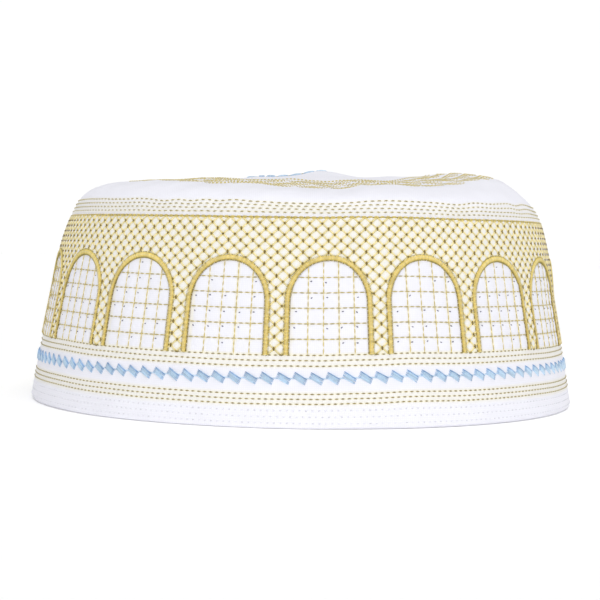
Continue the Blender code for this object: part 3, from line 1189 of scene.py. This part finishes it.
def net_knots(length):
    """Start and end of the upright knot at each crossing of the net outside the arches."""
    column, row = np.meshgrid(np.arange(NET_STEPS), np.arange(1, NET_ROWS))
    node = (column + row) % 2 == 0
    place = lattice_place(np.stack((column[node], row[node]), axis=-1).astype(float))
    place = place[arch_depth(*place.T) < -KNOT_MARGIN]
    faint = np.round((place[:, 1] - ARCH_FOOT) / NET_RISE) % 2 == 0
    reach = np.stack((np.zeros(len(place)), np.where(faint, FAINT_KNOT, 1.0) * length / 2.0), axis=-1)
    return place - reach, place + reach


class PRAYERCAP_OT_chain(bpy.types.Operator):
    """Sew the light blue chain"""

    bl_idname = "prayercap.chain"
    bl_label = "Blue Chain"

    def execute(self, context):
        sizes = context.scene.cap_stitches
        angles = CHAIN_TURN + np.arange(CHAIN_COUNT) * 360.0 / CHAIN_COUNT
        starts, ends = chain_strands(angles, CHAIN_TRAVEL)
        # The top strand of each block is sewn in the shaded blue, as painted shade along the chain's upper
        # edge
        first, rest = slice(CHAIN_COUNT), slice(CHAIN_COUNT, None)
        for name, part, kind in (
            ("blue_chain", rest, "light_blue"),
            ("chain_edges", first, "shaded_blue"),
        ):
            sew_each(
                name, starts[part], ends[part], "band_cloth", kind,
                width=sizes.chain_thread, height=0.7 * MM, segments=6, sides=6,
            )
        reach = degrees_across(CHAIN_LINK, CHAIN_TRAVEL) / 2.0
        between = angles + 180.0 / CHAIN_COUNT
        level = np.full(CHAIN_COUNT, CHAIN_TRAVEL)
        starts = np.stack((between - reach, level + CHAIN_FALL), axis=-1)
        ends = np.stack((between + reach, level - CHAIN_FALL), axis=-1)
        sew_each(
            "chain_links", starts, ends, "band_cloth", "light_blue",
            width=LINK_THREAD[0] * MM, height=LINK_THREAD[1] * MM, segments=4,
        )
        return {"FINISHED"}


def chain_strands(angles, travel):
    """Start and end of each strand of the chain's blocks."""
    starts, ends = [], []
    for strand in range(CHAIN_STRANDS):
        place = strand / (CHAIN_STRANDS - 1) - 0.5
        across, up = CHAIN_STACK[0] * place, CHAIN_STACK[1] * place
        run, fall = CHAIN_RUN[0] / 2.0, CHAIN_RUN[1] / 2.0
        high, low = travel + up - fall, travel + up + fall
        for kept, side, level in ((starts, across - run, high), (ends, across + run, low)):
            turned = angles + degrees_across(side, level)
            kept.append(np.stack((turned, np.full(len(angles), level)), axis=-1))
    return np.concatenate(starts), np.concatenate(ends)


class PRAYERCAP_OT_seam(bpy.types.Operator):
    """Sew the thick row at the crown's seam and the wavy gold rows above it"""

    bl_idname = "prayercap.seam"
    bl_label = "Crown Seam"

    def execute(self, context):
        sizes = context.scene.cap_stitches
        sew_lines(
            "seam_row", [ring_line(SEAM_ROW)], "band_cloth", "dark_seam",
            width=sizes.seam_thread, height=0.6 * MM, pitch=sizes.running_pitch,
        )
        lines = [ring_line(travel, gather_wave) for travel in WAVY_ROWS]
        sew_lines(
            "wavy_rows", lines, "crown_cloth", "faded_gold",
            width=sizes.grid_thread, height=sizes.grid_thread,
            pitch=1.15 * sizes.running_pitch, stitch_length=sizes.running_length, jitter=math.radians(9.0),
        )
        return {"FINISHED"}


class PRAYERCAP_OT_crown_rings(bpy.types.Operator):
    """Sew the ring of gold scales and the blue and gold rings on the crown's top"""

    bl_idname = "prayercap.crown_rings"
    bl_label = "Crown Rings"

    def execute(self, context):
        sizes = context.scene.cap_stitches
        lines = [top_ring(distance, RING_SHIFT) for distance in RING_BORDERS] + scale_lines()
        sew_lines(
            "crown_scales", lines, "crown_cloth", "scale_gold",
            width=sizes.scale_thread, height=sizes.scale_thread,
            pitch=SCALE_PITCH * MM, stitch_length=SCALE_STITCH * MM,
        )
        lines = [top_ring(distance, CENTRE_SHIFT) for distance in CENTRE_ROWS]
        sew_lines(
            "crown_rows", lines, "crown_cloth", "gold_running",
            width=sizes.running_thread, height=sizes.running_thread, pitch=sizes.running_pitch,
        )
        angles = np.arange(CENTRE_CHAIN_COUNT) * 360.0 / CENTRE_CHAIN_COUNT
        strands = chain_strands(angles, CROWN_END - CENTRE_CHAIN)
        moved = [off_centre(place[:, 0], CROWN_END - place[:, 1], CENTRE_SHIFT) for place in strands]
        sew_each(
            "crown_chain", *(np.stack(place, axis=1) for place in moved), "crown_cloth", "light_blue",
            width=sizes.chain_thread, height=0.8 * MM, segments=6, sides=6,
        )
        return {"FINISHED"}


def scale_lines():
    """Nested arcs that stand in rows like a fish's scales, each row set off by half a scale."""
    turn = np.radians(np.linspace(0.0, 180.0, SCALE_STEPS))
    lines = []
    for row in range(SCALE_ROWS):
        distance = SCALE_OUTER - SCALE_STEP * row
        for scale in range(SCALE_COUNT):
            middle = (scale + 0.5 * (row % 2)) * 360.0 / SCALE_COUNT
            for arc in SCALE_ARCS:
                radius = arc * distance / SCALE_OUTER
                out = distance + radius * np.sin(turn)
                angle = middle + np.degrees(radius * np.cos(turn) / out)
                lines.append((*off_centre(angle, out, RING_SHIFT), False))
    return lines


def top_ring(distance, shift):
    """A ring on the crown's top."""
    angle = np.arange(CROWN_COLUMNS) * 360.0 / CROWN_COLUMNS
    return (*off_centre(angle, distance, shift), True)


# Stage


def paper_floor(name):
    """Matt white studio paper, very slightly mottled and lit a little from below."""
    colours = bpy.context.scene.cap_colours
    material, tree, shader = new_material(name)
    place = add_node(tree, "ShaderNodeTexCoord").outputs["Object"]
    pulp = add_node(tree, "ShaderNodeTexNoise", {"Vector": place, "Scale": 60.0, "Detail": 2.0})
    mottled = add_node(tree, "ShaderNodeMapRange", (pulp, 0.0, 1.0, 0.99, 1.0))
    paper = {0: tuple(colours.floor)[:3], 3: mottled}
    looks = {
        "Base Color": add_node(tree, "ShaderNodeVectorMath", paper, operation="SCALE"),
        "Roughness": 0.95,
        "Specular IOR Level": 0.1,
        "Emission Color": (1.0, 1.0, 1.0, 1.0),
        "Emission Strength": FLOOR_GLOW,
    }
    set_inputs(shader, looks)
    return material


class PRAYERCAP_OT_stage(bpy.types.Operator):
    """Lay the floor and set the lights, the world and the camera"""

    bl_idname = "prayercap.stage"
    bl_label = "Stage"

    def execute(self, context):
        half = STAGE_SIZE / 2.0
        sides = ((-half, -half), (half, -half), (half, half), (-half, half))
        mesh = new_mesh("floor", [(x, y, -FLOOR_DROP) for x, y in sides], [], [(0, 1, 2, 3)])
        mesh.materials.append(paper_floor("white_paper"))
        floor = link_object("floor", mesh)
        for row in LIGHTS:
            add_broad_light(row)
        set_world(context)
        set_camera(context)
        context.scene.view_settings.view_transform = "Standard"
        return {"FINISHED"}


def add_broad_light(row):
    """A soft light from far away, which falls evenly on the cap and on the whole floor."""
    light = bpy.data.lights.new(row.name, "SUN")
    light.angle = math.radians(row.width)
    light.energy = row.strength
    lamp = link_object(row.name, light)
    lamp.matrix_world = (-Vector(row.place)).to_track_quat("-Z", "Y").to_matrix().to_4x4()


def set_world(context):
    """Bright white all round at the horizon and softer overhead, as in a studio tent."""
    world = bpy.data.worlds.new("studio_tent")
    world.use_nodes = True
    tree = world.node_tree
    direction = add_node(tree, "ShaderNodeTexCoord").outputs["Generated"]
    _, ahead, up = add_node(tree, "ShaderNodeSeparateXYZ", [direction]).outputs
    glow = add_node(tree, "ShaderNodeMapRange", (up, *SKY_FADE, SKY_HORIZON, SKY_ABOVE))
    facing = add_node(tree, "ShaderNodeMath", [ahead], operation="ABSOLUTE")
    sides = add_node(tree, "ShaderNodeMapRange", (facing, 0.0, SKY_TURN, SKY_SIDES, 1.0))
    strength = add_node(tree, "ShaderNodeMath", (glow, sides), operation="MULTIPLY")
    set_inputs(tree.nodes["Background"], {"Strength": strength, "Color": (1.0, 1.0, 1.0, 1.0)})
    context.scene.world = world


def set_camera(context):
    """The photograph's view of the cap."""
    data = bpy.data.cameras.new("photo_view")
    data.lens = FOCAL_LENGTH
    data.sensor_width = SENSOR_WIDTH
    data.clip_start = 0.01
    camera = link_object("photo_view", data)
    pitch = Matrix.Rotation(math.radians(90.0 - CAMERA_PITCH), 4, "X")
    roll = Matrix.Rotation(math.radians(CAMERA_ROLL), 4, "Z")
    camera.matrix_world = Matrix.Translation(Vector(CAMERA_PLACE) * MM) @ pitch @ roll
    context.scene.camera = camera


class PRAYERCAP_PT_panel(bpy.types.Panel):
    """Panel that lists the cap's pieces, sizes and colours"""

    bl_idname = "PRAYERCAP_PT_panel"
    bl_label = "Prayer Cap"
    bl_space_type = "VIEW_3D"
    bl_region_type = "UI"
    bl_category = "Prayer Cap"

    def draw(self, context):
        for operator in OPERATORS:
            self.layout.operator(operator.bl_idname)
        for group in (context.scene.cap_stitches, context.scene.cap_colours):
            for name in group.bl_rna.properties.keys():
                if name not in ("rna_type", "name"):
                    self.layout.prop(group, name)


OPERATORS = (
    PRAYERCAP_OT_stage,
    PRAYERCAP_OT_side_band,
    PRAYERCAP_OT_crown,
    PRAYERCAP_OT_rows,
    PRAYERCAP_OT_arches,
    PRAYERCAP_OT_net,
    PRAYERCAP_OT_chain,
    PRAYERCAP_OT_seam,
    PRAYERCAP_OT_crown_rings,
)
CLASSES = (StitchSettings, ColourSettings, *OPERATORS, PRAYERCAP_PT_panel)


def register():
    for cls in CLASSES:
        bpy.utils.register_class(cls)
    bpy.types.Scene.cap_stitches = bpy.props.PointerProperty(type=StitchSettings)
    bpy.types.Scene.cap_colours = bpy.props.PointerProperty(type=ColourSettings)


def unregister():
    del bpy.types.Scene.cap_colours
    del bpy.types.Scene.cap_stitches
    for cls in reversed(CLASSES):
        bpy.utils.unregister_class(cls)


def main():
    register()
    for operator in OPERATORS:
        group, name = operator.bl_idname.split(".")
        getattr(getattr(bpy.ops, group), name)()


if __name__ == "__main__":
    main()
